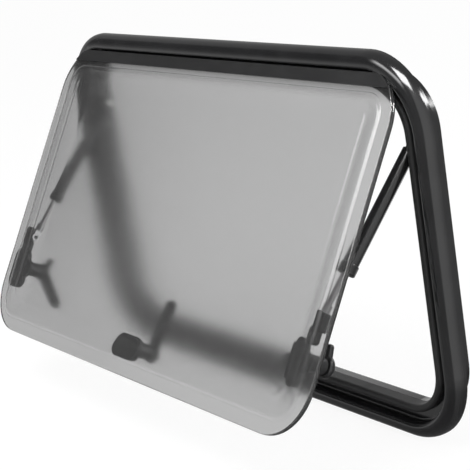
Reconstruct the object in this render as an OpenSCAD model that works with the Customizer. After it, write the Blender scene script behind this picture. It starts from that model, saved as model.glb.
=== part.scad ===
// Top-hung caravan window: a double acrylic sash on a continuous hinge, held open by two
// telescopic stays and closed by three turning latches that hook behind the frame's ledge.
// Origin: on the outer face of the wall, at the bottom centre of the wall opening.
// X runs to the right seen from outside, Y into the wall and Z up. All sizes are in mm.

/* [Wall opening] */
// Width of the opening in the wall
opening_w = 700; // [600:10:1000]
// Height of the opening in the wall
opening_h = 400; // [380:10:700]
// Corner radius of the opening
opening_r = 66; // [56:1:74]
// Thickness of the wall
wall_t = 30; // [24:1:45]

/* [Outer frame] */
// How far the flange reaches past the opening
flange_over = 24; // [23:1:40]
// Radius of the outer roll
roll_r = 15; // [13:0.5:16]
// Radius of the roll's inner flank
flank_r = 4; // [3:0.5:5]
// Height of the square edge under the roll
edge_h = 3.5; // [2:0.5:6]
// How far the shelf reaches into the opening
shelf_in = 13; // [12.5:0.1:13.5]
// Thickness of the shelf
shelf_t = 4; // [3:0.1:4]
// Radius of the cove between the shelf and the roll
cove_r = 3; // [1:0.5:5]

/* [Frame seal] */
// How far the seal reaches into the opening
seal_in = 16; // [15.5:0.1:18]
// Radius of the seal's round top
seal_r = 4; // [3:0.1:4.2]
// How far the seal's skirt reaches behind the wall's outer face
skirt_d = 4; // [3:0.5:6]
// Width of the seal's foot behind the shelf
grip_w = 6; // [4:0.5:7]

/* [Inner frame] */
// Gap between the inner frame and the edge of the opening
fit_gap = 3; // [1:0.5:4]
// Wall thickness of the inner frame
body_t = 3; // [2:0.5:4]
// How far the inner frame stops short of the wall's inner face
body_short = 1; // [0.5:0.5:4]
// Depth of the ledge that the latches hook behind
ledge_d = 17; // [15:0.5:18]
// Radius of the ledge's edge
ledge_r = 3; // [1:0.5:5]

/* [Hinge] */
// Distance of the hinge axis in front of the wall
hinge_y = 7.7; // [7.7:0.1:9]
// Distance of the hinge axis below the top of the opening
hinge_z = 3.3; // [3:0.1:3.4]
// Radius of the bead that turns in the rail
bead_r = 2; // [1.6:0.1:2]
// Running gap round the bead
bead_gap = 0.3; // [0.2:0.05:0.4]
// Wall thickness of the rail's socket
socket_t = 1.2; // [0.8:0.1:1.2]
// How far the rail stops short of the corners' curves
rail_back = 4; // [1:1:40]
// Height of the hinge profile's face
strip_h = 14.5; // [12:0.5:24]
// Wall thickness of the hinge profile
strip_t = 1.2; // [1:0.1:1.5]
// Height of the leg behind the panes
leg_h = 3.4; // [3:0.1:3.6]

/* [Sash] */
// Opening angle of the sash
open_angle = 31; // [0:1:42]
// Gap between the edge of the sash and the roll
sash_gap = 3; // [2:0.5:5]
// Corner radius of the sash
sash_r = 62; // [54:1:70]
// Thickness of the outer pane
outer_t = 3; // [2.5:0.5:4]
// Thickness of the inner pane
inner_t = 3; // [2.5:0.5:4]
// Width of the flat rim on which the panes are bonded
rim_w = 36; // [30:1:38]
// Width of the inner pane's shoulder
slope_w = 12; // [8:1:14]
// Depth of the inner pane's formed field
form_d = 8; // [6:0.5:10]
// Distance of the outer pane's shoulder from its edge
dome_in = 17; // [12:1:24]
// Width of the outer pane's shoulder
dome_w = 5; // [4:1:10]
// Height of the outer pane's raised field
dome_h = 1.5; // [1:0.5:2.5]
// How much wider both rims are at the top, under the hinge profile
top_extra = 17; // [10:1:30]

/* [Stays] */
// Distance of each stay from the side of the opening
stay_in = 28; // [26:1:60]
// Height of the frame pivot below the hinge axis
stay_top = 77; // [70:1:110]
// Depth of the frame pivot behind the wall's outer face
stay_y = 9; // [8:0.5:10]
// Distance of the sash pivot from the hinge axis, along the sash
stay_arm = 268; // [255:1:270]
// Depth of the sash pivot behind the panes' rim
stay_back = 8; // [8:0.5:10]
// Outer diameter of the stay tube
tube_d = 16; // [12:0.5:16]
// Wall thickness of the stay tube
tube_t = 1.5; // [1:0.25:2]
// Length of the stay tube from the frame pivot
tube_l = 158; // [120:1:160]
// Length of the solid head of the stay tube
head_l = 16; // [12:1:24]
// Length of the guide at the lower end of the tube
guide_l = 10; // [6:1:16]
// Diameter of the stay rod
rod_d = 7; // [5:0.5:8]
// Length of the stay rod from the sash pivot
rod_l = 110; // [100:1:150]
// Diameter of the rod's end fitting
fitting_d = 11; // [9:0.5:11]
// Length of the rod's end fitting above its pivot
fitting_l = 20; // [12:1:24]
// Diameter of the pivot pins
pin_d = 5; // [4:0.5:6]
// Thickness of the eyes at both ends of a stay
eye_t = 6; // [5:0.5:7]
// Thickness of a bracket's plate and lug
plate_t = 2.5; // [2:0.5:3]
// Length of a bracket's plate
plate_l = 50; // [40:1:70]
// How far a frame bracket's plate reaches above its pin
plate_up = 8; // [7:0.5:9]
// Width of a bracket's plate
plate_w = 12; // [11:0.5:14]
// Length of a sash bracket's foot
foot_l = 24; // [18:1:26]
// Thickness of a sash bracket's foot
foot_t = 2; // [1.5:0.1:2]

/* [Latches] */
// Distance of each latch spindle from the edge of the sash
latch_in = 35; // [34:0.5:36]
// Distance of the side latches from the hinge axis, along the sash
latch_arm = 312; // [312:1:320]
// Length of a side latch base along the edge
side_base_l = 60; // [50:1:62]
// Width of a side latch base
side_base_w = 50; // [40:1:52]
// Length of the bottom latch base along the edge
bottom_base_l = 98; // [60:1:120]
// Width of the bottom latch base
bottom_base_w = 24; // [22:1:40]
// Corner radius of a side latch base
base_r = 7; // [3:0.5:10]
// Height of a latch base above the sash's rim
base_h = 15; // [12:0.5:20]
// Diameter of a latch spindle
spindle_d = 20; // [16:0.5:22]
// Diameter of the spindle's neck in the lever
neck_d = 10; // [8:0.5:12]
// Gap between the closed tongue and the frame's ledge
hook_gap = 0.5; // [0.3:0.1:1.5]
// Thickness of a latch lever
lever_t = 8; // [6:0.5:10]
// Length of the lever's arm from the spindle
arm_l = 74; // [50:1:85]
// Width of the arm at its end
arm_w = 12; // [9:0.5:16]
// Length of the lever's tongue from the spindle
tongue_l = 25; // [22:0.5:26]
// Width of the tongue at its end
tongue_w = 8; // [6:0.5:12]
// Angle by which the side levers hang below the level
side_turn = 43; // [0:1:50]

/* [Hidden] */
$fn = 64;
// Gap between pieces that seat on each other, and between a pin and its bore
seat = 0.3;
pin_gap = 0.05;
// How far the shelf's back is lifted off the inner frame, inside the edge of the opening
shelf_lift = 0.4;
// Running gap between the hinge rail and what passes beside it
hinge_gap = 0.2;
// Flat that is left where two round corners meet at the end of a plate
end_flat = 2;
// Angle at which the mouth of the hinge rail's socket begins, from straight down
mouth_angle = 85;
// How far the hinge bead stops short of the rail's ends
bead_back = 1;
// How far the hinge profile stands above the hinge axis
strip_over = 0.5;
// Wall of the eyes and bosses round a stay's pins, and how far the pins stand past them
eye_wall = 2.5;
pin_over = 1;
// Width of a lever at its hub, as a share of the spindle's diameter, and the hub's extra width
root_share = 0.8;
hub_over = 2;

// Frame in section: u runs outwards from the edge of the opening, v out of the wall
roll_top = edge_h + roll_r;
roll_u = flange_over - roll_r;
flank_u = roll_u - flank_r;
body_d = wall_t - body_short;

// Hinge axis, and the sash in its closed place in front of the frame
axis_y = -hinge_y;
axis_z = opening_h - hinge_z;
socket_r = bead_r + bead_gap + socket_t;
leg_y = hinge_y + socket_r + hinge_gap;
rim_back = leg_y + strip_t;
sash_face = rim_back + inner_t + outer_t;
sash_u = flank_u - sash_gap;
sash_hw = opening_w / 2 + sash_u;
sash_hh = opening_h / 2 + sash_u;
pane_top = axis_z + strip_over - strip_t - seat;
field_back = rim_back - form_d;
rail_l = opening_w - 2 * opening_r - 2 * rail_back;
bead_l = rail_l - 2 * bead_back;

// Frame seal
seal_u1 = -hinge_z - socket_r - hinge_gap;
seal_top = rim_back - seat;

// Stays: both pivots in the opened window, and the reach and lean between them
stay_x = opening_w / 2 - stay_in;
arm_y = hinge_y - rim_back + stay_back;
sash_pin_y = axis_y + arm_y * cos(open_angle) - stay_arm * sin(open_angle);
sash_pin_z = axis_z - arm_y * sin(open_angle) - stay_arm * cos(open_angle);
frame_pin_z = axis_z - stay_top;
stay_len = norm([sash_pin_y - stay_y, sash_pin_z - frame_pin_z]);
stay_lean = atan2(stay_y - sash_pin_y, frame_pin_z - sash_pin_z);
eye_r = pin_d / 2 + eye_wall;
bracket_x = opening_w / 2 - seal_in - seat - stay_x;
lug_x = eye_t / 2 + seat;

// Latches: the lever turns in a plane just behind the frame's ledge
lever_w0 = rim_back + ledge_d + hook_gap;
root_w = root_share * spindle_d;
side_latch_a = opening_h / 2 - axis_z + latch_arm;

// Turns a flat drawing upright: its Y becomes height and its Z points out of the wall
module upright() {
    translate([0, 0, opening_h / 2])
        rotate([90, 0, 0])
            children();
}

// Turns the closed sash about the hinge axis to its opening angle
module opened() {
    translate([0, axis_y, axis_z])
        rotate([-open_angle, 0, 0])
            translate([0, -axis_y, -axis_z])
                children();
}

// Puts a piece drawn hanging straight down from the frame pivot on the leaning stay
module along_stay(side) {
    translate([side * stay_x, stay_y, frame_pin_z])
        rotate([-stay_lean, 0, 0])
            children();
}

// Puts a piece on an edge of the sash, turned about the pane's middle: 0 is the bottom edge,
// 90 the left and -90 the right. Its X runs along the edge, Y to the middle, Z into the room
module at_edge(turn) {
    reach = turn == 0 ? sash_hh : sash_hw;
    opened()
        translate([0, -rim_back, opening_h / 2])
            rotate([0, turn, 0])
                translate([0, 0, -reach])
                    rotate([90, 0, 180])
                        children();
}

// Sweeps a section round a rounded rectangle; the section's X runs outwards from it
module sweep_round(hw, hh, r) {
    for (k = [0:3])
        rotate([0, 0, 90 * k]) {
            reach = k % 2 == 0 ? hw : hh;
            half = (k % 2 == 0 ? hh : hw) - r;
            translate([reach, half, 0])
                rotate([90, 0, 0])
                    linear_extrude(2 * half)
                        children();
            translate([reach - r, half, 0])
                rotate_extrude(angle = 90)
                    translate([r, 0])
                        children();
        }
}

// A rounded rectangle about the middle
module rounded(hw, hh, r) {
    for (sx = [-1, 1], sy = [-1, 1])
        translate([sx * (hw - r), sy * (hh - r)])
            circle(r);
    square([2 * (hw - r), 2 * hh], center = true);
    square([2 * hw, 2 * (hh - r)], center = true);
}

// A quarter of a disc, in the given quadrant from its centre
module quarter(r, qx, qy) {
    intersection() {
        circle(r);
        translate([qx < 0 ? -r : 0, qy < 0 ? -r : 0])
            square(r);
    }
}

// A bar from the origin along Y that tapers to a round end
module tapered_bar(l, w0, w1) {
    polygon([[-w0 / 2, 0], [w0 / 2, 0], [w1 / 2, l - w1 / 2], [-w1 / 2, l - w1 / 2]]);
    translate([0, l - w1 / 2])
        circle(d = w1);
}

// Section of the outer frame: a shelf, a cove and the outer roll
module frame_section() {
    translate([-shelf_in, shelf_lift])
        square([shelf_in, shelf_t - shelf_lift]);
    square([flank_u, shelf_t]);
    translate([flank_u - cove_r, shelf_t])
        difference() {
            square(cove_r);
            translate([0, cove_r])
                circle(cove_r);
        }
    translate([flank_u, 0])
        square([flank_r, roll_top - flank_r]);
    translate([roll_u, 0])
        square([roll_r, edge_h]);
    translate([roll_u, edge_h])
        quarter(roll_r, 1, 1);
    translate([roll_u, roll_top - flank_r])
        quarter(flank_r, -1, 1);
}

module outer_frame() {
    color("#2b2b2d")
        upright()
            sweep_round(opening_w / 2, opening_h / 2, opening_r)
                frame_section();
}

// Section of the seal: a round-topped lip whose skirt and foot grip the edge of the shelf
module seal_section() {
    lip_w = seal_u1 + seal_in;
    translate([-seal_in, shelf_t])
        square([lip_w, seal_top - shelf_t - seal_r]);
    for (u = [-seal_in + seal_r, seal_u1 - seal_r])
        translate([u, seal_top - seal_r])
            circle(seal_r);
    translate([-seal_in + seal_r, seal_top - 2 * seal_r])
        square([lip_w - 2 * seal_r, 2 * seal_r]);
    translate([-seal_in, -skirt_d])
        square([seal_in - shelf_in - seat, skirt_d + shelf_t]);
    translate([-seal_in, -skirt_d])
        square([grip_w, skirt_d + shelf_lift - seat]);
}

module frame_seal() {
    color("#303032")
        upright()
            sweep_round(opening_w / 2, opening_h / 2, opening_r)
                seal_section();
}

// Section of the inner frame: a ledge round the opening and the thin wall behind it
module inner_section() {
    outer_u = -fit_gap;
    ledge_v = -skirt_d - seat;
    translate([outer_u - body_t, -body_d])
        square([body_t, body_d]);
    translate([-seal_in + grip_w + seat, -ledge_d])
        square([seal_in - grip_w - seat + outer_u, ledge_d]);
    translate([-seal_in, ledge_r - ledge_d])
        square([seal_in + outer_u, ledge_d - ledge_r + ledge_v]);
    translate([-seal_in + ledge_r, -ledge_d])
        square([seal_in - ledge_r + outer_u, ledge_r]);
    translate([-seal_in + ledge_r, ledge_r - ledge_d])
        quarter(ledge_r, -1, -1);
}

module inner_frame() {
    color("#262628")
        upright()
            sweep_round(opening_w / 2, opening_h / 2, opening_r)
                inner_section();
}

// Hinge rail on the shelf: an open socket for the bead
module hinge_rail() {
    color("#3a3a3c")
        translate([-rail_l / 2, 0, axis_z])
            rotate([90, 0, 90])
                linear_extrude(rail_l)
                    difference() {
                        union() {
                            translate([-hinge_y, 0])
                                circle(socket_r);
                            translate([-hinge_y, -socket_r])
                                square([hinge_y - shelf_t, 2 * socket_r]);
                        }
                        translate([-hinge_y, 0])
                            circle(bead_r + bead_gap);
                        translate([-hinge_y, 0])
                            rotate(mouth_angle)
                                square(2 * socket_r);
                    }
}

// Section of the channel round the panes' top edge, about the height of the axis
module channel_section() {
    face_y = sash_face + strip_t;
    translate([-face_y, -strip_h])
        square([strip_t, strip_h + strip_over]);
    translate([-face_y, strip_over - strip_t])
        square([face_y - leg_y, strip_t]);
    translate([-rim_back, -leg_h])
        square([strip_t, leg_h + strip_over]);
}

// Hinge profile: it grips the top edge of the panes and ends in the hinge bead
module hinge_profile() {
    color("#333335")
        opened() {
            intersection() {
                upright()
                    linear_extrude(sash_face + strip_t)
                        rounded(sash_hw, sash_hh, sash_r);
                translate([-sash_hw, 0, axis_z])
                    rotate([90, 0, 90])
                        linear_extrude(2 * sash_hw)
                            channel_section();
            }
            translate([-bead_l / 2, axis_y, axis_z])
                rotate([0, 90, 0])
                    cylinder(h = bead_l, r = bead_r);
            translate([-bead_l / 2, -leg_y, axis_z - strip_t / 2])
                cube([bead_l, leg_y - hinge_y, strip_t]);
        }
}

// Cuts a pane off below the top of the hinge profile
module pane_cut() {
    intersection() {
        children();
        translate([-sash_hw, -2 * sash_face, -sash_u])
            cube([2 * sash_hw, 4 * sash_face, pane_top + sash_u]);
    }
}

// A pane formed from one sheet: a flat rim at height v0 and a field at height v1
module formed_pane(t, v0, v1, rim, slope) {
    field_hw = sash_hw - rim;
    field_hh = sash_hh - rim - top_extra / 2;
    field_r = sash_r - rim;
    opened()
        pane_cut()
            upright() {
                translate([0, 0, v0])
                    linear_extrude(t)
                        difference() {
                            rounded(sash_hw, sash_hh, sash_r);
                            translate([0, -top_extra / 2])
                                rounded(field_hw, field_hh, field_r);
                        }
                translate([0, -top_extra / 2, 0]) {
                    sweep_round(field_hw, field_hh, field_r)
                        polygon([[0, v0], [0, v0 + t], [-slope, v1 + t], [-slope, v1]]);
                    translate([0, 0, v1])
                        linear_extrude(t)
                            rounded(field_hw - slope, field_hh - slope, field_r - slope);
                }
            }
}

module outer_pane() {
    color("#b9bcbd", 0.5)
        formed_pane(outer_t, sash_face - outer_t, sash_face - outer_t + dome_h, dome_in, dome_w);
}

module inner_pane() {
    color("#a9acad", 0.5)
        formed_pane(inner_t, rim_back, field_back, rim_w, slope_w);
}

// Frame bracket of a stay: a round-ended plate on the jamb with a boss and the pin
module stay_bracket(side) {
    color("#1f1f21")
        translate([side * stay_x, stay_y, frame_pin_z])
            mirror([side < 0 ? 1 : 0, 0, 0])
                rotate([0, 90, 0]) {
                    translate([plate_l / 2 - plate_up, 0, bracket_x - plate_t])
                        linear_extrude(plate_t)
                            rounded(plate_l / 2, plate_w / 2, (plate_w - end_flat) / 2);
                    translate([0, 0, lug_x])
                        cylinder(h = bracket_x - lug_x, r = eye_r);
                    translate([0, 0, -eye_t / 2 - pin_over])
                        cylinder(h = bracket_x + eye_t / 2 + pin_over, d = pin_d);
                }
}

module stay_bracket_left() stay_bracket(-1);

module stay_bracket_right() stay_bracket(1);

// The eye of a stay, bored for its pin
module eye_bore() {
    rotate([0, 90, 0])
        cylinder(h = eye_t + 2 * fitting_d, d = pin_d + 2 * pin_gap, center = true);
}

// Stay tube with the eye that hangs on the frame bracket
module stay_tube(side) {
    color("#77797b")
        along_stay(side) {
            difference() {
                union() {
                    rotate([0, 90, 0])
                        cylinder(h = eye_t, r = eye_r, center = true);
                    translate([-eye_t / 2, -eye_r, -head_l])
                        cube([eye_t, 2 * eye_r, head_l]);
                }
                eye_bore();
            }
            translate([0, 0, -tube_l])
                difference() {
                    cylinder(h = tube_l - eye_r - plate_t, d = tube_d);
                    translate([0, 0, -1])
                        cylinder(h = guide_l + 2, d = rod_d + 2 * seat);
                    translate([0, 0, guide_l])
                        cylinder(h = tube_l - head_l - guide_l, d = tube_d - 2 * tube_t);
                }
        }
}

module stay_tube_left() stay_tube(-1);

module stay_tube_right() stay_tube(1);

// Stay rod: it slides in the tube and ends in a fitting on the sash bracket's pin
module stay_rod(side) {
    color("#8d8f91")
        along_stay(side)
            translate([0, 0, -stay_len])
                difference() {
                    union() {
                        translate([0, 0, fitting_l])
                            cylinder(h = rod_l - fitting_l, d = rod_d);
                        intersection() {
                            cylinder(h = fitting_l, d = fitting_d);
                            translate([-eye_t / 2, -fitting_d, 0])
                                cube([eye_t, 2 * fitting_d, fitting_l]);
                        }
                        translate([0, 0, fitting_l / 2])
                            cylinder(h = fitting_l / 2, d = fitting_d);
                        rotate([0, 90, 0])
                            cylinder(h = eye_t, d = fitting_d, center = true);
                    }
                    eye_bore();
                }
}

module stay_rod_left() stay_rod(-1);

module stay_rod_right() stay_rod(1);

// Sash bracket of a stay: a foot on the inner pane's rim with a lug and pin
module sash_bracket(side) {
    color("#1f1f21")
        opened()
            translate([side * stay_x, -rim_back + stay_back, axis_z - stay_arm])
                mirror([side < 0 ? 1 : 0, 0, 0]) {
                    translate([0, -stay_back, -foot_l / 2])
                        cube([lug_x + 2 * plate_t, foot_t, foot_l]);
                    translate([lug_x, -stay_back, -eye_r])
                        cube([plate_t, stay_back, 2 * eye_r]);
                    translate([lug_x, 0, 0])
                        rotate([0, 90, 0])
                            cylinder(h = plate_t, r = eye_r);
                    translate([-eye_t / 2 - pin_over, 0, 0])
                        rotate([0, 90, 0])
                            cylinder(h = lug_x + eye_t / 2 + pin_over, d = pin_d);
                }
}

module sash_bracket_left() sash_bracket(-1);

module sash_bracket_right() sash_bracket(1);

// Latch base on an edge of the sash: it follows the inner pane's shoulder and carries the
// spindle, whose neck the lever turns on
module latch_base(l, w, r) {
    d0 = latch_in - w / 2;
    d1 = latch_in + w / 2;
    foot = [for (d = [rim_w, rim_w + slope_w]) if (d < d1) [d, d == rim_w ? 0 : form_d]];
    foot_end = form_d * min(1, (d1 - rim_w) / slope_w);
    color("#232325") {
        intersection() {
            translate([0, latch_in, 0])
                linear_extrude(base_h)
                    rounded(l / 2, w / 2, r);
            rotate([90, 0, 90])
                linear_extrude(l, center = true)
                    polygon(concat([[d0, base_h], [d0, 0]], foot, [[d1, foot_end], [d1, base_h]]));
        }
        translate([0, latch_in, base_h])
            cylinder(h = lever_w0 - base_h - seat, d = spindle_d);
        translate([0, latch_in, base_h])
            cylinder(h = lever_w0 - base_h + lever_t, d = neck_d);
    }
}

// Latch lever: an arm, and opposite it the tongue that hooks behind the frame's ledge
module latch_lever() {
    color("#2c2c2e")
        translate([0, latch_in, lever_w0])
            linear_extrude(lever_t)
                difference() {
                    union() {
                        circle(d = spindle_d + hub_over);
                        tapered_bar(arm_l, root_w, arm_w);
                        rotate(180)
                            tapered_bar(tongue_l, root_w, tongue_w);
                    }
                    circle(d = neck_d + 2 * seat);
                }
}

// Puts a side latch's piece at its height: the right one is the left one's mirror image
module side_latch(side) {
    at_edge(-side * 90)
        translate([side * side_latch_a, 0, 0])
            mirror([side > 0 ? 1 : 0, 0, 0])
                children();
}

// Turns a lever about its spindle
module turned(angle) {
    translate([0, latch_in, 0])
        rotate([0, 0, angle])
            translate([0, -latch_in, 0])
                children();
}

module latch_base_left() side_latch(-1) latch_base(side_base_l, side_base_w, base_r);

module latch_base_right() side_latch(1) latch_base(side_base_l, side_base_w, base_r);

module latch_base_bottom() at_edge(0) latch_base(bottom_base_l, bottom_base_w, (bottom_base_w - end_flat) / 2);

module latch_lever_left() side_latch(-1) turned(side_turn) latch_lever();

module latch_lever_right() side_latch(1) turned(side_turn) latch_lever();

module latch_lever_bottom() at_edge(0) latch_lever();

outer_frame();
frame_seal();
inner_frame();
hinge_rail();
hinge_profile();
outer_pane();
inner_pane();
stay_bracket_left();
stay_bracket_right();
stay_tube_left();
stay_tube_right();
stay_rod_left();
stay_rod_right();
sash_bracket_left();
sash_bracket_right();
latch_base_left();
latch_base_right();
latch_base_bottom();
latch_lever_left();
latch_lever_right();
latch_lever_bottom();
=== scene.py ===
"""Looks of a top-hung caravan window: a tinted double sash, open, in a black rounded frame.

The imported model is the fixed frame. X runs to the right seen from outside, Y into the wall and
Z up. Sizes in the classes are in millimetres, and turn into metres where a mesh is made.
"""

from __future__ import annotations

import logging
import math
from collections.abc import Callable, Sequence
from dataclasses import dataclass, field, replace
from enum import Enum
from typing import Any

import bmesh
import bpy
from mathutils import Euler, Matrix, Vector


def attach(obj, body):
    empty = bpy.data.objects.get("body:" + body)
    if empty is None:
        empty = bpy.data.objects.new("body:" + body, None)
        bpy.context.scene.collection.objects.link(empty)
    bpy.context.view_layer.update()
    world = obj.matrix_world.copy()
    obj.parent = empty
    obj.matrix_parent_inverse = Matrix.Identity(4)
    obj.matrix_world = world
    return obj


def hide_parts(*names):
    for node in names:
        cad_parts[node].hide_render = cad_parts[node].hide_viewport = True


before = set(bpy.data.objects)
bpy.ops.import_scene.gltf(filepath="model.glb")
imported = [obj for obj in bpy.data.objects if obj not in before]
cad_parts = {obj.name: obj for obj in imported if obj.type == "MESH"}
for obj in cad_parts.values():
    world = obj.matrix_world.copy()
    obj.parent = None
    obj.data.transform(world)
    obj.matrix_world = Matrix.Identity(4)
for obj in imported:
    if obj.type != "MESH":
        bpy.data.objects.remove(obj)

LOG = logging.getLogger("caravan_window")
MM = 0.001
BODY = "root"
Point = tuple[float, float, float]
Colour = tuple[float, float, float, float]
Pair = tuple[float, float]
UP: Point = (0.0, 0.0, 1.0)
FINE_ROUND = (0, 22, 45, 67, 90)
COARSE_ROUND = (0, 30, 60, 90)


def metres(point: Sequence[float]) -> Vector:
    """Turns a point in millimetres into metres."""
    return Vector(point) * MM


@dataclass(frozen=True)
class Opening:
    """How the sash is opened: the hinge's axis and the angle in degrees."""

    axis_y: float = -7.7
    axis_z: float = 396.7
    angle: float = 31.0

    @property
    def axis(self) -> Vector:
        """Gives a point on the hinge's axis, in metres."""
        return metres((0, self.axis_y, self.axis_z))

    @property
    def down(self) -> Vector:
        """Gives the direction from the hinge down the open sash."""
        turn = math.radians(self.angle)
        return Vector((0.0, -math.sin(turn), -math.cos(turn)))

    def matrix(self) -> Matrix:
        """Turns the closed sash, in metres, to its open place."""
        turn = Matrix.Rotation(math.radians(-self.angle), 4, "X")
        return Matrix.Translation(self.axis) @ turn @ Matrix.Translation(-self.axis)


OPENING = Opening()


class Wire:
    """An output of a shader node, on which arithmetic adds the Math nodes that it needs."""

    def __init__(self, graph: Graph, socket: bpy.types.NodeSocket) -> None:
        """Keeps the graph and the output socket."""
        self.graph = graph
        self.socket = socket

    def math(self, operation: str, *values: Wire | float) -> Wire:
        """Adds a Math node."""
        inputs = dict(enumerate(values))
        return self.graph.node("ShaderNodeMath", {"operation": operation}, inputs).out(0)

    def __add__(self, other: Wire | float) -> Wire:
        """Adds a number or an output."""
        return self.math("ADD", self, other)

    def __radd__(self, other: float) -> Wire:
        """Adds to a number."""
        return self.math("ADD", other, self)

    def __sub__(self, other: Wire | float) -> Wire:
        """Subtracts a number or an output."""
        return self.math("SUBTRACT", self, other)

    def __rsub__(self, other: float) -> Wire:
        """Subtracts from a number."""
        return self.math("SUBTRACT", other, self)

    def __mul__(self, other: Wire | float) -> Wire:
        """Multiplies by a number or an output."""
        return self.math("MULTIPLY", self, other)

    def __rmul__(self, other: float) -> Wire:
        """Multiplies a number."""
        return self.math("MULTIPLY", other, self)

    def ramp(self, low: float, high: float) -> Wire:
        """Maps low to 0 and high to 1, smoothly and held between them.

        Args:
            low: the value that gives 0.
            high: the value that gives 1.

        Returns:
            The mapped value.
        """
        settings = {"interpolation_type": "SMOOTHSTEP"}
        inputs = {"Value": self, "From Min": low, "From Max": high}
        return self.graph.node("ShaderNodeMapRange", settings, inputs).out("Result")

    def blend(self, first: Colour, second: Colour) -> Wire:
        """Mixes two colours, with this value as the share of the second."""
        inputs = {"Factor": self, 6: first, 7: second}
        return self.graph.node("ShaderNodeMix", {"data_type": "RGBA"}, inputs).out(2)


class Direction(Wire):
    """An output that holds a direction."""

    def along(self, x: float, y: float, z: float) -> Wire:
        """Gives how far the direction points along an axis, from -1 to 1.

        Args:
            x: the axis's X.
            y: the axis's Y.
            z: the axis's Z.

        Returns:
            The cosine between them.
        """
        axis = Vector((x, y, z)).normalized()
        settings = {"operation": "DOT_PRODUCT"}
        made = self.graph.node("ShaderNodeVectorMath", settings, {0: self, 1: tuple(axis)})
        return made.out("Value")


class Node:
    """A shader node, with its outputs as wires."""

    def __init__(self, graph: Graph, node: bpy.types.Node) -> None:
        """Keeps the graph and the node."""
        self.graph = graph
        self.node = node

    def out(self, key: int | str = 0) -> Wire:
        """Gives an output by its name or number."""
        return Wire(self.graph, self.node.outputs[key])


class Graph:
    """The nodes of a material or world, made new."""

    def __init__(self, owner: bpy.types.Material | bpy.types.World) -> None:
        """Clears the owner's nodes.

        Args:
            owner: the material or world.
        """
        owner.use_nodes = True
        self.tree = owner.node_tree
        self.tree.nodes.clear()

    def node(
        self,
        kind: str,
        settings: dict[str, Any] | None = None,
        inputs: dict[int | str, Any] | None = None,
    ) -> Node:
        """Adds a node.

        Args:
            kind: the node's type.
            settings: the node's own properties, which are set first.
            inputs: values or wires for its sockets, by name or number.

        Returns:
            The node.
        """
        made = self.tree.nodes.new(kind)
        for name, value in (settings or {}).items():
            setattr(made, name, value)
        for key, value in (inputs or {}).items():
            if isinstance(value, Wire):
                self.tree.links.new(value.socket, made.inputs[key])
            else:
                made.inputs[key].default_value = value
        return Node(self, made)

    def place(self, scale: Point = (1.0, 1.0, 1.0)) -> Wire:
        """Gives the place on the object, in metres and stretched by scale."""
        inputs = {"Vector": self.node("ShaderNodeTexCoord").out("Object"), "Scale": scale}
        return self.node("ShaderNodeMapping", {"vector_type": "POINT"}, inputs).out()

    def noise(self, size: float, detail: float = 2.0, stretch: Point = (1.0, 1.0, 1.0)) -> Wire:
        """Adds a noise texture."""
        inputs = {"Vector": self.place(stretch), "Scale": 1 / (size * MM), "Detail": detail}
        return self.node("ShaderNodeTexNoise", None, inputs).out("Fac")

    def bump(self, height: Wire, depth: float) -> Wire:
        """Turns a height from 0 to 1 into a normal."""
        inputs = {"Height": height, "Distance": depth * MM, "Strength": 1.0}
        return self.node("ShaderNodeBump", None, inputs).out("Normal")


def shade_of(colour: Colour, times: float, plus: float = 0.0) -> Colour:
    """Gives a colour that is so many times brighter, and a little more, up to white."""
    red, green, blue = (min(1.0, value * times + plus) for value in colour[:3])
    return red, green, blue, 1.0


@dataclass(frozen=True)
class Finish:
    """A finish whose surface is one Principled shader.

    Attributes:
        name: the material's name.
        colour: the base colour.
        roughness: the mean roughness.
    """

    name: str
    colour: Colour
    roughness: float

    def surface(self, graph: Graph) -> dict[int | str, Any]:
        """Gives the shader's inputs beyond the plain ones; each finish has its own."""
        return {}

    def material(self) -> bpy.types.Material:
        """Makes the material, or gives the one made before.

        Returns:
            The material.
        """
        known = bpy.data.materials.get(self.name)
        if known:
            return known
        made = bpy.data.materials.new(self.name)
        graph = Graph(made)
        inputs = {"Base Color": self.colour, "Roughness": self.roughness}
        inputs.update(self.surface(graph))
        shader = graph.node("ShaderNodeBsdfPrincipled", None, inputs)
        graph.node("ShaderNodeOutputMaterial", None, {"Surface": shader.out("BSDF")})
        return made


@dataclass(frozen=True)
class Moulding(Finish):
    """Moulded plastic: a fine skin, faint flow marks and slightly uneven gloss."""

    skin: float = 0.5
    depth: float = 0.004
    gloss: float = 0.06
    marks: float = 38.0
    paler: float = 1.5

    def surface(self, graph: Graph) -> dict[int | str, Any]:
        """Gives the colour, roughness and grain of the moulding.

        Args:
            graph: the material's graph.

        Returns:
            The shader's inputs.
        """
        marks = graph.noise(self.marks, 3.0).ramp(0.35, 0.7)
        fine = graph.noise(self.skin, 3.0)
        lighter = shade_of(self.colour, self.paler, 0.002)
        return {
            "Base Color": (marks * 0.5).blend(self.colour, lighter),
            "Roughness": self.roughness + self.gloss * (marks + fine * 0.4 - 0.7),
            "Normal": graph.bump(fine, self.depth),
        }


@dataclass(frozen=True)
class Rubber(Finish):
    """Soft seal rubber: matt, with a fine grain and a pale bloom."""

    bloom: float = 24.0
    paler: float = 1.8
    grain: float = 0.7
    depth: float = 0.012

    def surface(self, graph: Graph) -> dict[int | str, Any]:
        """Gives the colour, roughness and grain of the rubber.

        Args:
            graph: the material's graph.

        Returns:
            The shader's inputs.
        """
        bloom = graph.noise(self.bloom, 4.0).ramp(0.45, 0.75)
        grain = graph.noise(self.grain, 4.0)
        return {
            "Base Color": (bloom * 0.5).blend(self.colour, shade_of(self.colour, self.paler)),
            "Roughness": self.roughness + 0.1 * (bloom - 0.5),
            "Normal": graph.bump(grain, self.depth),
        }


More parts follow.
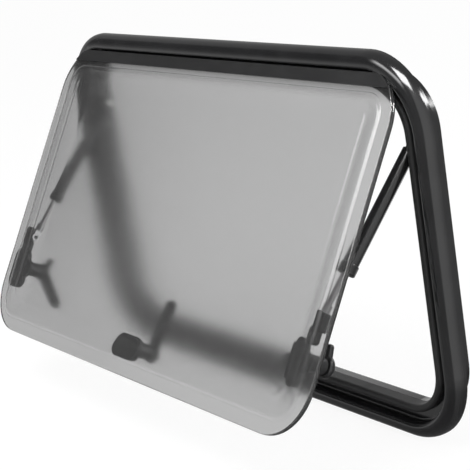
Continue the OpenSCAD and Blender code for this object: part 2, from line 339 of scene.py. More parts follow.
@dataclass(frozen=True)
class Metal(Finish):
    """Drawn or anodised metal, with fine lines along one axis."""

    lines: Point = (0.02, 1.0, 1.0)
    depth: float = 0.002
    metallic: float = 1.0
    line: float = 0.4
    worn: float = 1.25
    patch: float = 15.0

    def surface(self, graph: Graph) -> dict[int | str, Any]:
        """Gives the metal, its drawing lines and its uneven sheen.

        Args:
            graph: the material's graph.

        Returns:
            The shader's inputs.
        """
        drawn = graph.noise(self.line, 2.0, self.lines)
        sheen = graph.noise(self.patch, 3.0).ramp(0.3, 0.7)
        return {
            "Metallic": self.metallic,
            "Base Color": (sheen * 0.6).blend(self.colour, shade_of(self.colour, self.worn)),
            "Roughness": self.roughness + 0.12 * (drawn - 0.5) + 0.05 * sheen,
            "Normal": graph.bump(drawn, self.depth),
        }


@dataclass(frozen=True)
class Acrylic(Finish):
    """Tinted acrylic sheet that lets light through, clear or softly blurred.

    Attributes:
        wave: the depth of the sheet's slow waves, in millimetres.
        clear: the share of light that isn't scattered by the tint.
        edge: how much darker the tint is painted along the hinge, as painted shade under it.
        hinge_shade_span: where the painted shade ends and where it is full, in millimetres below
            the hinge.
        slow: the size of the waves, in millimetres.
        ior: the index of refraction of acrylic.
    """

    wave: float = 0.02
    clear: float = 1.0
    edge: float = 0.0
    hinge_shade_span: Pair = (34.0, 4.0)
    slow: float = 60.0
    ior: float = 1.49

    def surface(self, graph: Graph) -> dict[int | str, Any]:
        """Gives the tint with its painted shade along the hinge, the blur and the slow waves of a
        formed sheet.

        Args:
            graph: the material's graph.

        Returns:
            The shader's inputs.
        """
        slow = graph.noise(self.slow, 2.0)
        down = Direction(graph, graph.place().socket).along(*OPENING.down)
        start = OPENING.axis.dot(OPENING.down)
        low, high = (start + distance * MM for distance in self.hinge_shade_span)
        # Painted shade: the tint darkens towards the hinge, standing in for the shade under the
        # hinge profile.
        dark = shade_of(self.colour, 1 - self.edge)
        return {
            "Base Color": down.ramp(low, high).blend(self.colour, dark),
            "IOR": self.ior,
            "Transmission Weight": self.clear,
            "Roughness": self.roughness * (0.94 + 0.12 * slow),
            "Normal": graph.bump(slow, self.wave),
        }


class Finishes(Enum):
    """Every finish of the window."""

    FRAME = Moulding("frame_skin", (0.0085, 0.0085, 0.009, 1), 0.15, 0.5, 0.002, 0.04)
    BODY = Moulding("body_skin", (0.008, 0.008, 0.0085, 1), 0.2, 0.5, 0.003, 0.05)
    SEAL = Rubber("seal_skin", (0.012, 0.012, 0.0125, 1), 0.62)
    HINGE = Metal("hinge_anodised", (0.018, 0.018, 0.0185, 1), 0.34, (0.02, 1, 1), 0.002, 0.5)
    # OUTER and INNER end with their painted shade along the hinge: the tint is painted 0.75 darker
    # there.
    OUTER = Acrylic("sash_outer_skin", (0.53, 0.53, 0.53, 1), 0.03, 0.01, 0.95, 0.75)
    INNER = Acrylic("sash_inner_skin", (0.53, 0.53, 0.53, 1), 0.17, 0.02, 1.0, 0.75)
    GAP_OUTER = Acrylic("sash_gap_outer", (1, 1, 1, 1), 0.03, 0.005)
    GAP_INNER = Acrylic("sash_gap_inner", (1, 1, 1, 1), 0.15, 0.01)
    TUBE = Moulding("stay_tube_skin", (0.01, 0.01, 0.0105, 1), 0.2, 0.8, 0.003, 0.05)
    ROD = Metal("stay_rod_steel", (0.45, 0.45, 0.455, 1), 0.28, (1, 1, 0.02), 0.002, 0.9)
    FITTING = Moulding("fitting_skin", (0.011, 0.011, 0.0115, 1), 0.38, 0.35, 0.01, 0.08)
    LEVER = Moulding("lever_skin", (0.009, 0.009, 0.0095, 1), 0.3, 0.35, 0.006, 0.06)
    SCREW = Metal("screw_zinc", (0.62, 0.62, 0.6, 1), 0.28, (1, 1, 1), 0.002, 1.0)

    def dress(self, piece: bpy.types.Object) -> None:
        """Gives a piece or CAD node this finish in every material slot.

        Args:
            piece: the piece.
        """
        made = self.value.material()
        if not piece.data.materials:
            piece.data.materials.append(made)
        for index in range(len(piece.data.materials)):
            piece.data.materials[index] = made


def smooth(piece: bpy.types.Object, angle: float = 32.0) -> None:
    """Shades a piece smoothly, apart from edges sharper than an angle in degrees."""
    piece.data.shade_smooth()
    piece.data.set_sharp_from_angle(angle=math.radians(angle))


def piece_of(
    name: str,
    mesh: bmesh.types.BMesh,
    finish: Finishes,
    cavity: Sequence[bmesh.types.BMFace] = (),
) -> bpy.types.Object:
    """Makes a piece from a bmesh: it rides on the window's body and wears its finish.

    Args:
        name: the piece's name.
        mesh: the bmesh, in metres, which is freed.
        finish: the finish.
        cavity: the faces of a hollow inside, which look into the hollow.

    Returns:
        The piece.
    """
    bmesh.ops.recalc_face_normals(mesh, faces=mesh.faces)
    if cavity:
        bmesh.ops.reverse_faces(mesh, faces=list(cavity))
    data = bpy.data.meshes.new(name)
    mesh.to_mesh(data)
    mesh.free()
    made = bpy.data.objects.new(name, data)
    bpy.context.scene.collection.objects.link(made)
    smooth(made)
    finish.dress(made)
    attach(made, BODY)
    return made


def add_loft(
    mesh: bmesh.types.BMesh, rings: Sequence[Sequence[Vector]], turn: int = 0, slot: int = 0
) -> list[bmesh.types.BMFace]:
    """Joins closed rings of equal counts into a skin with both ends closed.

    Args:
        mesh: the bmesh that gets the skin.
        rings: the rings, each a list of points in metres.
        turn: the ring from which the faces wear the next material slot, or 0 for one slot.
        slot: the faces' first material slot.

    Returns:
        The faces.
    """
    rows = [[mesh.verts.new(point) for point in ring] for ring in rings]
    made = [mesh.faces.new(rows[0])]
    made[0].material_index = slot
    for number, (low, high) in enumerate(zip(rows, rows[1:])):
        for index, corner in enumerate(low):
            after = (index + 1) % len(low)
            face = mesh.faces.new((corner, low[after], high[after], high[index]))
            face.material_index = slot + (1 if turn and number >= turn else 0)
            made.append(face)
    made.append(mesh.faces.new(rows[-1]))
    made[-1].material_index = slot + (1 if turn else 0)
    return made


def add_lathe(
    mesh: bmesh.types.BMesh,
    profile: Sequence[Pair],
    place: Matrix,
    segments: int = 32,
    dent: Callable[[float, float, float], float] | None = None,
) -> None:
    """Turns a profile about the local Z axis.

    Args:
        mesh: the bmesh that gets the turned skin.
        profile: radius and height pairs, in millimetres, from the foot to the top.
        place: where the local frame stands, in metres.
        segments: how many segments go round.
        dent: gives the height lost at a local x and y, for a recess in the head.
    """
    rings = []
    for radius, height in profile:
        ring = []
        for step in range(segments):
            turn = 2 * math.pi * step / segments
            x, y = radius * math.cos(turn), radius * math.sin(turn)
            lost = dent(x, y, height) if dent else 0.0
            ring.append(place @ metres((x, y, height - lost)))
        rings.append(ring)
    add_loft(mesh, rings)


def rounded_path(
    half: float, low: float, high: float, radius: float, steps: int = 14
) -> list[Pair]:
    """Gives points round a rounded rectangle.

    Args:
        half: its half width.
        low: its lowest height.
        high: its highest height.
        radius: its corner radius.
        steps: how many steps each corner has.

    Returns:
        The points, as x and height, anticlockwise from the right end of the bottom edge.
    """
    points = []
    for number, (x, z) in enumerate(((half, low), (half, high), (-half, high), (-half, low))):
        middle_x = x - math.copysign(radius, x)
        middle_z = z + (radius if z == low else -radius)
        for step in range(steps + 1):
            turn = math.radians(90 * (number - 1) + 90 * step / steps)
            points.append((middle_x + radius * math.cos(turn), middle_z + radius * math.sin(turn)))
    return points


def s_curve(start: Pair, end: Pair, steps: int) -> list[Pair]:
    """Gives the points of a smooth step from one flat to another.

    Args:
        start: where the first flat ends, as distance and height.
        end: where the second flat begins.
        steps: how many steps the curve has.

    Returns:
        The points, both ends among them.
    """
    made = []
    for step in range(steps + 1):
        share = step / steps
        along = start[0] + (end[0] - start[0]) * share
        made.append((along, start[1] + (end[1] - start[1]) * ease(share)))
    return made


def ease(share: float) -> float:
    """Eases a share from 0 to 1 in and out."""
    return share * share * (3 - 2 * share)


def quarter(radius: float, angles: Sequence[float]) -> list[Pair]:
    """Gives a quarter round, as what is left of its radius along its two flats.

    Args:
        radius: its radius.
        angles: the angles of its points, in degrees.

    Returns:
        The lengths left along the first flat and the second, for each angle.
    """
    turns = [math.radians(angle) for angle in angles]
    return [(radius * (1 - math.sin(a)), radius * (1 - math.cos(a))) for a in turns]


def dress(finishes: dict[str, Finishes]) -> None:
    """Gives each CAD node its finish."""
    for node, finish in finishes.items():
        finish.dress(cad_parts[node])
        LOG.info("%s: CAD node with %s", node, finish.value.name)


class Frame:
    """The rounded frame, its seal and the hinge's two profiles."""

    def build(self) -> None:
        """Dresses the CAD nodes of the frame and the hinge."""
        dress(
            {
                "outer_frame": Finishes.FRAME,
                "inner_frame": Finishes.BODY,
                "frame_seal": Finishes.SEAL,
                "hinge_rail": Finishes.HINGE,
                "hinge_profile": Finishes.HINGE,
            }
        )


@dataclass
class Sash:
    """The two formed sheets of the sash, bonded at the rim, with a flat hollow between them."""

    half_w: float = 352.0
    low: float = -2.0
    high: float = 402.0
    cut: float = 395.7
    back: float = 12.6
    sheet: float = 3.0
    edge_r: float = 1.0
    corners: tuple[Point, ...] = ((0, 0, 62), (16, 10, 30), (36, -3, 22), (60, -3, 12), (80, -3, 5))
    first_crease: Pair = (15.0, 23.0)
    first_rise: float = 1.4
    second_crease: Pair = (36.0, 44.0)
    second_rise: float = 0.8
    shoulder: Pair = (24.0, 60.0)
    shoulder_d: float = 8.0
    bond: float = 0.1
    groove: float = 0.3
    reveal: float = 1.2

    def corner_at(self, inset: float) -> Pair:
        """Gives how a ring differs from the sheet's edge, between the rows of corners.

        Args:
            inset: the ring's distance from the sheet's edge.

        Returns:
            How much further in it is at the top, and its corner radius.
        """
        for low, high in zip(self.corners, self.corners[1:]):
            if inset <= high[0]:
                share = (inset - low[0]) / (high[0] - low[0])
                return low[1] + share * (high[1] - low[1]), low[2] + share * (high[2] - low[2])
        return self.corners[-1][1], self.corners[-1][2]

    def ring(self, inset: float, height: float) -> list[Vector]:
        """Gives one ring of a sheet.

        Args:
            inset: its distance from the sheet's edge.
            height: its height in front of the wall, with the sash closed.

        Returns:
            The ring's points, in the open place.
        """
        extra, radius = self.corner_at(inset)
        top = self.high - inset - extra
        path = rounded_path(self.half_w - inset, self.low + inset, top, radius)
        place = OPENING.matrix()
        return [place @ metres((x, -height, min(z, self.cut))) for x, z in path]

    def edge(self, base: float, top: float) -> list[list[Vector]]:
        """Gives the rings round the sash's edge: two rounds and the groove of the bond.

        Args:
            base: the height of the rim's back face.
            top: the height of its front face.

        Returns:
            The rings, from the front to the back.
        """
        middle, groove = (base + top) / 2, self.groove
        spots = [(gone, top - drop) for gone, drop in quarter(self.edge_r, FINE_ROUND)]
        spots += [(0.0, middle + 2 * groove), (groove, middle + groove / 2)]
        spots += [(gone, base + top - height) for gone, height in spots[::-1]]
        return [self.ring(gone, height) for gone, height in spots]

    def face(self, height: float, curve: list[Pair]) -> list[list[Vector]]:
        """Gives the rings of one face, from its middle to its rim.

        Args:
            height: the rim's height.
            curve: the form, as distances from the edge and heights over the rim.

        Returns:
            The rings.
        """
        last, rise = curve[-1]
        spots = [(last + 12.0, rise), (last + 0.6, rise)] + curve[::-1]
        return [self.ring(inset, height + over) for inset, over in spots]

    def form(self, inset: float) -> float:
        """Gives how far the inner sheet has stepped back at a distance from the edge."""
        low, high = self.shoulder
        return self.shoulder_d * ease(min(1.0, max(0.0, (inset - low) / (high - low))))

    def stand(self, x: float, z: float, angle: float = 0.0) -> Matrix:
        """Gives a frame on the rim's back face, with Z pointing into the room.

        Args:
            x: its X.
            z: its height, with the sash closed.
            angle: the direction of local X, in degrees above the sash's X.

        Returns:
            The frame, in metres, on the open sash.
        """
        turn = math.radians(angle)
        c, s = math.cos(turn), math.sin(turn)
        axes = Matrix(((c, -s, 0, 0), (0, 0, 1, 0), (s, c, 0, 0), (0, 0, 0, 1)))
        return OPENING.matrix() @ Matrix.Translation(metres((x, -self.back, z))) @ axes

    def build(self) -> None:
        """Makes both sheets as one bonded piece with the hollow between them."""
        step = self.first_rise + self.second_rise
        low, high = self.first_crease
        outer = s_curve((low, 0.0), (high, self.first_rise), 8)
        low, high = self.second_crease
        outer += s_curve((low, self.first_rise), (high, step), 8)
        low, high = self.shoulder
        inner = s_curve((low, 0.0), (high, -self.shoulder_d), 14)
        base, top = self.back, self.back + 2 * self.sheet + self.bond
        rim = (self.first_crease[0] - 0.6, self.edge_r + 0.8)
        front = self.face(top, outer) + [self.ring(inset, top) for inset in rim]
        back = self.face(base, inner) + [self.ring(inset, base) for inset in rim]
        mesh = bmesh.new()
        edge = self.edge(base, top)
        add_loft(mesh, front + edge + back[::-1], len(front) + len(edge) // 2)
        start = self.first_crease[0] + self.reveal
        hollow = self.face(top - self.sheet, [spot for spot in outer if spot[0] > start])
        turn = len(hollow)
        hollow += self.face(base + self.sheet, [(start, 0.0)] + inner)[::-1]
        cavity = add_loft(mesh, hollow, turn, 2)
        made = piece_of("sash_sheets", mesh, Finishes.OUTER, cavity)
        for finish in (Finishes.INNER, Finishes.GAP_OUTER, Finishes.GAP_INNER):
            made.data.materials.append(finish.value.material())
        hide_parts("outer_pane", "inner_pane")
        LOG.info("%s: both sheets with %s", made.name, Finishes.OUTER.value.name)


@dataclass(frozen=True)
class Pad:
    """A low rounded block that stands on the sash's inner face and follows its form.

    Its top is measured over the rim, and waists are extra rings in its wall.
    """

    u: float
    v: float
    half: float
    tall: float
    corner: float
    top: float
    edge_r: float = 1.4
    angles: tuple[int, ...] = COARSE_ROUND
    steps: int = 6
    waists: int = 0
    seat: float = 0.15

    def add(
        self, mesh: bmesh.types.BMesh, sash: Sash, stand: Matrix, edge: float, inward: Pair
    ) -> None:
        """Adds the block to a mesh.

        Args:
            mesh: the bmesh that gets it.
            sash: the sash that it stands on.
            stand: its local frame.
            edge: the distance from the frame's origin to the sash's edge.
            inward: the local direction away from that edge.
        """
        shares = [index / (self.waists + 1) for index in range(self.waists + 1)]
        levels = [(0.0, share, self.top - self.edge_r) for share in shares]
        levels += [(gone, 1.0, self.top - drop) for drop, gone in quarter(self.edge_r, self.angles)]
        rings = []
        for gone, share, high in levels:
            half, tall, corner = self.half - gone, self.tall - gone, self.corner - gone
            ring = []
            for x, z in rounded_path(half, -tall, tall, corner, self.steps):
                u, v = self.u + x, self.v + z
                floor = self.seat + sash.form(edge + u * inward[0] + v * inward[1])
                ring.append(stand @ metres((u, v, floor + share * (high - floor))))
            rings.append(ring)
        add_loft(mesh, rings)


@dataclass(frozen=True)
class Bar:
    """A flat bar with a hub at one end, a round tip and rounded edges, bowed upwards."""

    hub: float
    length: float
    root: float
    tip: float
    low: float
    high: float
    bow: float = 0.0
    edge_r: float = 2.4
    steps: int = 60

    def half_width(self, along: float, gone: float) -> float:
        """Gives the bar's half width at a distance from the hub's axis.

        Args:
            along: the distance, towards the bar's tip.
            gone: how much the outline has shrunk, for a rounded edge.

        Returns:
            The half width.
        """
        hub, tip, centre = self.hub - gone, self.tip - gone, self.length - self.tip
        best = math.sqrt(max(0.0, hub * hub - along * along))
        if 0 <= along <= centre:
            return max(best, self.root + (self.tip - self.root) * along / centre - gone)
        if centre < along:
            return max(best, math.sqrt(max(0.0, tip * tip - (along - centre) ** 2)))
        return best

    def add(self, mesh: bmesh.types.BMesh, stand: Matrix) -> None:
        """Adds the bar to a mesh.

        Args:
            mesh: the bmesh that gets it.
            stand: the frame at the hub, with X along the bar.
        """
        levels = [(gone, self.low + rise) for gone, rise in quarter(self.edge_r, COARSE_ROUND)]
        levels += [(gone, self.low + self.high - height) for gone, height in levels[::-1]]
        rings = []
        for gone, height in levels:
            start, end = gone - self.hub, self.length - gone
            turns = [math.pi * step / self.steps for step in range(self.steps + 1)]
            spots = [(start + end - (end - start) * math.cos(turn)) / 2 for turn in turns]
            sides = [(u, self.half_width(u, gone)) for u in spots]
            outline = sides + [(u, -width) for u, width in sides[-2:0:-1]]
            ring = []
            for u, v in outline:
                bent = self.bow * max(0.0, u / self.length) ** 2
                ring.append(stand @ metres((u, v, height + bent)))
            rings.append(ring)
        add_loft(mesh, rings)


class Side(Enum):
    """The sides of the window, by the sign of X."""

    LEFT = -1
    RIGHT = 1

    @property
    def word(self) -> str:
        """Gives the side's word in the nodes' names."""
        return self.name.lower()


@dataclass(frozen=True)
class Screw:
    """A small screw head with a cross recess, as the brackets and latches have."""

    radius: float = 3.1
    head: float = 1.3
    slot_half: float = 0.45
    slot_l: float = 1.9
    slot_d: float = 0.8

    def recess(self, x: float, y: float, height: float) -> float:
        """Gives the depth of the cross at a point of the head.

        Args:
            x: the point's local X.
            y: the point's local Y.
            height: the point's height.

        Returns:
            The depth lost there.
        """
        near, far = sorted((abs(x), abs(y)))
        inside = near < self.slot_half and far < self.slot_l and height > self.head / 2
        return self.slot_d if inside else 0.0

    def add(self, mesh: bmesh.types.BMesh, place: Matrix) -> None:
        """Adds the screw head on a local plane.

        Args:
            mesh: the bmesh that gets it.
            place: the local plane.
        """
        r, h = self.radius, self.head
        profile = [(r, 0.0), (r, 0.35 * h), (0.86 * r, 0.8 * h), (0.66 * r, h)]
        profile += [(r * share, h) for share in (0.6, 0.5, 0.4, 0.3, 0.22, 0.15, 0.1, 0.05)]
        add_lathe(mesh, profile, place, 48, self.recess)


@dataclass
class Stays:
    """The two telescopic stays with their brackets and feet."""

    pin: Point = (322.0, 9.0, 319.7)
    foot: Pair = (-143.9, 164.6)
    plate_x: float = 331.7
    screw_drop: Pair = (17.0, 32.0)
    tube_l: float = 158.0
    tube_r: float = 8.0
    collar_l: float = 11.0
    collar_over: float = 1.2
    ribs: int = 5
    rib_step: float = 1.5
    rib_d: float = 0.35
    cap_r: float = 4.4
    cap_h: float = 1.6
    cap_x: float = 317.9
    pads: tuple[Pad, ...] = (
        Pad(325.0, 113.5, 8.5, 10.0, 5.5, 7.0),
        Pad(332.6, 128.7, 2.4, 10.5, 2.0, 10.5),
    )
    sash: Sash = field(default_factory=Sash)

    def axis(self, side: Side) -> Matrix:
        """Gives the frame at the top pin, with Z along the stay.

        Args:
            side: which stay.

        Returns:
            The frame, in metres.
        """
        x, y, z = self.pin
        along = Vector((0, self.foot[0] - y, self.foot[1] - z)).normalized()
        turn = along.to_track_quat("Z", "X").to_matrix().to_4x4()
        return Matrix.Translation(metres((side.value * x, y, z))) @ turn

    def facing(self, side: Side, x: float, y: float, z: float) -> Matrix:
        """Gives a frame that looks from the jamb to the middle of the window."""
        turn = Matrix.Rotation(math.radians(-90 * side.value), 4, "Y")
        return Matrix.Translation(metres((side.value * x, y, z))) @ turn

    def build(self) -> None:
        """Dresses the stays' CAD nodes and adds collars, screws, pin caps and feet."""
        for side in Side:
            dress(
                {
                    f"stay_tube_{side.word}": Finishes.TUBE,
                    f"stay_rod_{side.word}": Finishes.ROD,
                    f"stay_bracket_{side.word}": Finishes.FITTING,
                    f"sash_bracket_{side.word}": Finishes.FITTING,
                }
            )
            self.build_collar(side)
            self.build_fasteners(side)
            self.build_foot(side)

    def build_collar(self, side: Side) -> None:
        """Makes the ribbed clamping collar at a tube's end.

        Args:
            side: which stay.
        """
        low, high = self.tube_l - self.collar_l, self.tube_l + 0.8
        inner, outer = self.tube_r + 0.1, self.tube_r + self.collar_over
        profile = [(inner, low), (outer - 0.3, low + 0.4), (outer, low + 1.0)]
        for rib in range(self.ribs):
            start = low + 2.2 + self.rib_step * rib
            profile += [(outer, start), (outer - self.rib_d, start + 0.5), (outer, start + 1.0)]
        profile += [(outer, high - 1.0), (outer - 0.8, high), (4.2, high), (4.2, high - 1.5)]
        mesh = bmesh.new()
        add_lathe(mesh, profile, self.axis(side), 48)
        made = piece_of(f"stay_collar_{side.word}", mesh, Finishes.FITTING)
        LOG.info("%s: ribbed collar", made.name)

    def build_fasteners(self, side: Side) -> None:
        """Makes the screws of the frame bracket and the cap of its pin.

        Args:
            side: which stay.
        """
        mesh = bmesh.new()
        _, y, z = self.pin
        for drop in self.screw_drop:
            Screw().add(mesh, self.facing(side, self.plate_x, y, z - drop))
        r, h = self.cap_r, self.cap_h
        profile = [(r, 0.0), (r, 0.4 * h), (0.9 * r, 0.8 * h), (0.6 * r, h), (0.1, h)]
        add_lathe(mesh, profile, self.facing(side, self.cap_x, y, z), 32)
        made = piece_of(f"stay_fasteners_{side.word}", mesh, Finishes.SCREW)
        LOG.info("%s: screws and pin cap", made.name)

    def build_foot(self, side: Side) -> None:
        """Makes the moulded foot round the sash bracket.

        Args:
            side: which stay.
        """
        mesh = bmesh.new()
        for pad in self.pads:
            placed = replace(pad, u=side.value * pad.u)
            stand = self.sash.stand(0.0, 0.0)
            placed.add(mesh, self.sash, stand, self.sash.half_w, (-side.value, 0.0))
        made = piece_of(f"stay_foot_{side.word}", mesh, Finishes.FITTING)
        LOG.info("%s: pad and cheek", made.name)


@dataclass(frozen=True)
class LatchPlace:
    """Where a latch stands on the closed sash.

    Attributes:
        word: its word in the nodes' names.
        x: its spindle's X.
        z: its spindle's height.
        arm: the direction of its lever's arm, in degrees.
        nose: how far the lever's nose is turned from its arm, in degrees.
        inward: the local direction away from the edge that it stands at.
        upright: whether its base runs up the sash instead of along it.
    """

    word: str
    x: float
    z: float
    arm: float
    nose: float
    inward: Pair
    upright: bool = True


@dataclass
class Latches:
    """The three turning latches: a rounded base with a boss, a spindle and a lever."""

    sash: Sash = field(default_factory=Sash)
    spindle_in: float = 35.0
    side_z: float = 84.7
    base_l: float = 54.0
    base_w: float = 29.0
    base_h: float = 10.0
    base_r: float = 12.0
    base_left: float = 12.5
    base_drop: float = 3.0
    edge_r: float = 2.4
    screw_in: float = 6.5
    boss_r: float = 12.5
    spindle_r: float = 9.6
    neck_r: float = 5.0
    arm: Bar = Bar(12.5, 70.0, 9.4, 7.6, 30.1, 38.1, 3.0)
    nose: Bar = Bar(11.7, 25.0, 7.0, 4.0, 30.5, 37.7)
    cap: Screw = Screw(5.6, 1.6, 0.6, 3.0, 1.1)

    def places(self) -> list[LatchPlace]:
        """Gives the three latches' places."""
        x, z = self.sash.half_w - self.spindle_in, self.side_z
        return [
            LatchPlace("left", -x, z, -33, 90, (1.0, 0.0)),
            LatchPlace("right", x, z, 184, -90, (-1.0, 0.0)),
            LatchPlace("bottom", 0, self.sash.low + self.spindle_in, 83, 90, (0.0, 1.0), False),
        ]

    def base_of(self, place: LatchPlace) -> Pad:
        """Gives the block of a latch's base, round its spindle.

        Args:
            place: the latch's place.

        Returns:
            The block.
        """
        along, across = self.base_l / 2, self.base_w / 2
        half, tall = (across, along) if place.upright else (along, across)
        drop = self.base_drop if place.upright else 0.0
        size = (-self.base_left, -drop, half, tall, self.base_r, self.base_h)
        return Pad(*size, edge_r=self.edge_r, angles=FINE_ROUND, steps=8, waists=1)

    def build_base(self, place: LatchPlace) -> None:
        """Makes a latch base with its boss and spindle.

        Args:
            place: the latch's place.
        """
        stand = self.sash.stand(place.x, place.z)
        mesh = bmesh.new()
        self.base_of(place).add(mesh, self.sash, stand, self.spindle_in, place.inward)
        r, h, boss, neck = self.spindle_r, self.base_h, self.boss_r, self.neck_r
        low, high = self.arm.low, self.arm.high
        profile = [(boss, 3.0), (boss, h - 1.2), (boss - 1.2, h + 0.4)]
        profile += [(r + 1.4, h + 0.8), (r + 0.4, h + 1.6), (r, h + 3.0), (r, low - 0.8)]
        profile += [(r - 0.6, low - 0.2), (neck, low - 0.2), (neck, high + 0.2)]
        add_lathe(mesh, profile, stand, 48)
        name = f"latch_base_{place.word}_moulding"
        made = piece_of(name, mesh, Finishes.FITTING)
        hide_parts(f"latch_base_{place.word}")
        LOG.info("%s: base, boss and spindle", made.name)

    def build_screws(self, place: LatchPlace) -> None:
        """Makes the screws of a latch base, where the boss leaves room, and of its lever.

        Args:
            place: the latch's place.
        """
        stand = self.sash.stand(place.x, place.z)
        base = self.base_of(place)
        mesh = bmesh.new()
        for sign in (-1, 1):
            reach = sign * (self.base_l / 2 - self.screw_in)
            u, v = (base.u, base.v + reach) if place.upright else (base.u + reach, base.v)
            if math.hypot(u, v) > self.boss_r + 3.5:
                Screw().add(mesh, stand @ Matrix.Translation(metres((u, v, self.base_h - 0.1))))
        self.cap.add(mesh, stand @ Matrix.Translation(metres((0, 0, self.arm.high + 0.1))))
        made = piece_of(f"latch_screws_{place.word}", mesh, Finishes.SCREW)
        LOG.info("%s: screws", made.name)

    def build_lever(self, place: LatchPlace) -> None:
        """Makes a latch lever: hub, bowed arm and hooking nose, with rounded edges.

        Args:
            place: the latch's place.
        """
        mesh = bmesh.new()
        self.arm.add(mesh, self.sash.stand(place.x, place.z, place.arm))
        self.nose.add(mesh, self.sash.stand(place.x, place.z, place.arm + place.nose))
        name = f"latch_lever_{place.word}_moulding"
        made = piece_of(name, mesh, Finishes.LEVER)
        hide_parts(f"latch_lever_{place.word}")
        LOG.info("%s: bowed lever with its nose", made.name)

    def build(self) -> None:
        """Makes the three latches."""
        for place in self.places():
            self.build_base(place)
            self.build_screws(place)
            self.build_lever(place)


@dataclass(frozen=True)
class Lobe:
    """A soft patch of the surroundings, round an axis.

    Attributes:
        axis: the direction that it is measured along.
        low: the cosine where it ends.
        high: the cosine where it is full.
        both: whether it lies on both sides of the axis.
    """

    axis: Point
    low: float
    high: float
    both: bool = False

    def seen(self, ray: Direction) -> Wire:
        """Gives how much of the patch a ray sees."""
        along = ray.along(*self.axis)
        return (along.math("ABSOLUTE", along) if self.both else along).ramp(self.low, self.high)


@dataclass(frozen=True)
class Surroundings:
    """What gloss reflects: a grey studio, brighter left and right, a dark card and a window.

    The patches are those of left, right, card, under and key, in this order.
    """

    grey: float = 0.36
    left: float = 0.5
    right: float = 1.1
    card: float = 0.7
    under: float = 0.6
    inside: float = 0.5
    key: float = 9.0
    patches: tuple[tuple[Lobe, ...], ...] = (
        (Lobe((-0.8, -0.6, 0.0), 0.86, 1.0), Lobe(UP, 0.3, 0.08)),
        (Lobe((0.788, 0.616, 0.0), -0.04, 0.08), Lobe((0.766, -0.643, 0.0), -0.2, 1.0)),
        (Lobe((-0.82, -0.47, 0.33), 0.9, 0.97),),
        (Lobe(UP, -0.3, -0.7),),
        (
            Lobe((-0.938, 0.347, 0.0), 0.42, 0.25, True),
            Lobe((0.0, -1.0, 0.0), 0.2, 0.4),
            Lobe(UP, 0.42, 0.62),
            Lobe(UP, 0.74, 0.66),
        ),
    )

    @staticmethod
    def patch(ray: Direction, lobes: Sequence[Lobe]) -> Wire:
        """Gives how much a ray sees of the patch that all the lobes share."""
        return math.prod((lobe.seen(ray) for lobe in lobes[1:]), start=lobes[0].seen(ray))

    def level(self, graph: Graph, ray: Direction) -> Wire:
        """Gives the brightness along a reflected ray.

        Args:
            graph: the graph that asks.
            ray: the ray's direction.

        Returns:
            The brightness.
        """
        left, right, card, under, key = (self.patch(ray, lobes) for lobes in self.patches)
        room = (self.grey + self.left * left + self.right * right) * (1 - self.card * card)
        room = room * (1 - self.under * under)
        first = graph.node("ShaderNodeLightPath").out("Transmission Depth").ramp(0.8, 0.2)
        return (self.inside + (1 - self.inside) * first) * room + self.key * first * key


@dataclass(frozen=True)
class Lamp:
    """A soft rectangular lamp, in watts; a glint shows in gloss alone."""

    name: str
    place: Point
    aim: Point
    size: Pair
    power: float
    glint: bool = False

    def build(self) -> None:
        """Adds the lamp to the scene."""
        data = bpy.data.lights.new(self.name, "AREA")
        data.shape = "RECTANGLE"
        data.size, data.size_y = self.size[0] * MM, self.size[1] * MM
        data.energy = self.power
        made = bpy.data.objects.new(self.name, data)
        bpy.context.scene.collection.objects.link(made)
        made.location = metres(self.place)
        facing = metres(self.aim) - made.location
        made.rotation_euler = facing.to_track_quat("-Z", "Y").to_euler()
        made.visible_camera = False
        made.visible_transmission = False
        made.visible_diffuse = not self.glint
        made.visible_glossy = self.glint


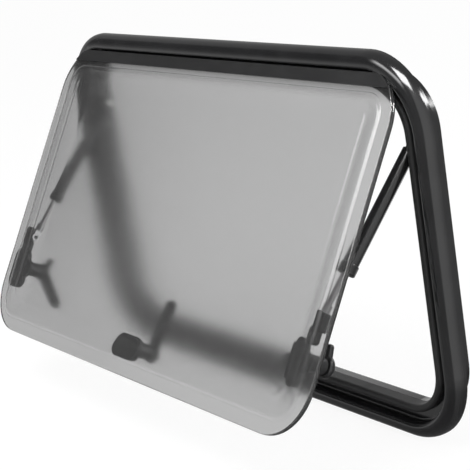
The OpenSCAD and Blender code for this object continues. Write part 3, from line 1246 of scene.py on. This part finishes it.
@dataclass
class Studio:
    """The pale floor, the plain light and the camera."""

    floor_z: float = -24.3
    floor_half: float = 30000.0
    floor_white: float = 0.82
    floor_glow: float = 1.04
    shadow: float = 0.12
    ambient: float = 0.62
    shade: Pair = (0.12, 0.2)
    shade_left: Pair = (0.03, 0.125)
    shade_up: Pair = (-0.06, 0.06)
    lens: float = 117.29
    camera: Point = (1557.2, -1023.0, 694.9)
    turn: Point = (74.2915, 8.7836, 54.9180)
    surroundings: Surroundings = Surroundings()
    lamps: tuple[Lamp, ...] = (
        Lamp("top_softbox", (200, -900, 1900), (0, 0, 200), (1600, 900), 30),
        Lamp("side_softbox", (2000, -200, 900), (0, 0, 200), (500, 1500), 14),
        Lamp("top_glint", (790, -510, 1900), (344, -11, 398), (1000, 800), 60, True),
        Lamp("sill_card", (-264, 249, 126), (100, 15, 5), (500, 220), 0.3, True),
        Lamp("jamb_card", (158, 294, 60), (-340, 0, 200), (600, 400), 2.0, True),
        Lamp("back_glint", (1500, 950, 1300), (344, 11, 380), (500, 500), 20, True),
    )

    def rays(self, graph: Graph) -> tuple[Wire, Wire]:
        """Tells rays of the camera and through clear pieces, and those of reflections.

        Args:
            graph: the graph that asks.

        Returns:
            1 for rays that see the background straight, and 1 for reflected ones.
        """
        path = graph.node("ShaderNodeLightPath")
        camera, glossy, clear = (
            path.out(f"Is {kind} Ray") for kind in ("Camera", "Glossy", "Transmission")
        )
        mirrored = path.out("Glossy Depth").ramp(0.2, 0.8)
        straight = camera.math("MAXIMUM", camera, clear * (1 - mirrored))
        return straight, glossy * (1 - straight)

    def dimmed(self, graph: Graph, ray: Direction) -> Wire:
        """Gives the backdrop's brightness through clear pieces: darker at the upper left.

        Args:
            graph: the graph that asks.
            ray: the direction to a place of the backdrop.

        Returns:
            The brightness, 1 for rays that pass no clear piece.
        """
        axes = Euler([math.radians(a) for a in self.turn], "XYZ").to_matrix()
        left = ray.along(*(axes @ Vector((-1.0, 0.0, 0.0)))).ramp(*self.shade_left)
        upper = ray.along(*(axes @ Vector((0.0, 1.0, 0.0)))).ramp(*self.shade_up)
        clear = graph.node("ShaderNodeLightPath").out("Is Transmission Ray")
        return 1 - clear * left * (self.shade[0] + self.shade[1] * upper)

    def build_floor(self) -> None:
        """Makes the floor, which shows nearly white and keeps the object's shadow."""
        mesh = bmesh.new()
        half = self.floor_half
        outline = ((-half, -half), (half, -half), (half, half), (-half, half))
        mesh.faces.new([mesh.verts.new(metres((x, y, self.floor_z))) for x, y in outline])
        data = bpy.data.meshes.new("floor")
        mesh.to_mesh(data)
        mesh.free()
        made = bpy.data.objects.new("floor", data)
        bpy.context.scene.collection.objects.link(made)
        material = bpy.data.materials.new("floor_white")
        graph = Graph(material)
        white = (self.floor_white, self.floor_white, self.floor_white, 1.0)
        matt = graph.node("ShaderNodeBsdfDiffuse", None, {"Color": white}).out()
        settings = {"operation": "SUBTRACT"}
        inputs = {0: graph.place(), 1: tuple(metres(self.camera))}
        reach = graph.node("ShaderNodeVectorMath", settings, inputs).out()
        ray = graph.node("ShaderNodeVectorMath", {"operation": "NORMALIZE"}, {0: reach}).out()
        pale = self.dimmed(graph, Direction(graph, ray.socket)).blend((0, 0, 0, 1), (1, 1, 1, 1))
        inputs = {"Color": pale, "Strength": self.floor_glow}
        glow = graph.node("ShaderNodeEmission", None, inputs).out()
        straight, glossy = self.rays(graph)
        share = (straight + glossy) * (1 - self.shadow)
        mixed = graph.node("ShaderNodeMixShader", None, {0: share, 1: matt, 2: glow}).out()
        graph.node("ShaderNodeOutputMaterial", None, {"Surface": mixed})
        data.materials.append(material)
        made.visible_glossy = False
        made.visible_shadow = False

    def build_world(self) -> None:
        """Makes the world: white where it is seen, softer where it only lights."""
        world = bpy.data.worlds.new("studio")
        bpy.context.scene.world = world
        graph = Graph(world)
        straight, glossy = self.rays(graph)
        ray = Direction(graph, graph.node("ShaderNodeTexCoord").out("Generated").socket)
        light = self.ambient + (1 - self.ambient) * straight
        light = (1 - glossy) * light * self.dimmed(graph, ray)
        strength = light + glossy * self.surroundings.level(graph, ray)
        inputs = {"Color": (1, 1, 1, 1), "Strength": strength}
        back = graph.node("ShaderNodeBackground", None, inputs)
        graph.node("ShaderNodeOutputWorld", None, {"Surface": back.out()})

    def build_camera(self) -> None:
        """Sets the camera where the photograph was taken from."""
        data = bpy.data.cameras.new("camera")
        data.lens = self.lens
        data.sensor_width = 36.0
        data.clip_start, data.clip_end = 0.05, 200.0
        made = bpy.data.objects.new("camera", data)
        bpy.context.scene.collection.objects.link(made)
        made.location = metres(self.camera)
        made.rotation_euler = Euler([math.radians(a) for a in self.turn], "XYZ")
        bpy.context.scene.camera = made

    def build(self) -> None:
        """Makes the whole studio."""
        bpy.context.scene.view_settings.view_transform = "Standard"
        self.build_floor()
        self.build_world()
        for lamp in self.lamps:
            lamp.build()
        self.build_camera()
        LOG.info("studio: floor, world, lamps and camera")


def main() -> None:
    """Builds the window's looks and the studio."""
    logging.basicConfig(level=logging.INFO, format="%(name)s: %(message)s")
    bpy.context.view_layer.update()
    for part in (Frame(), Sash(), Stays(), Latches(), Studio()):
        part.build()


if __name__ == "__main__":
    main()
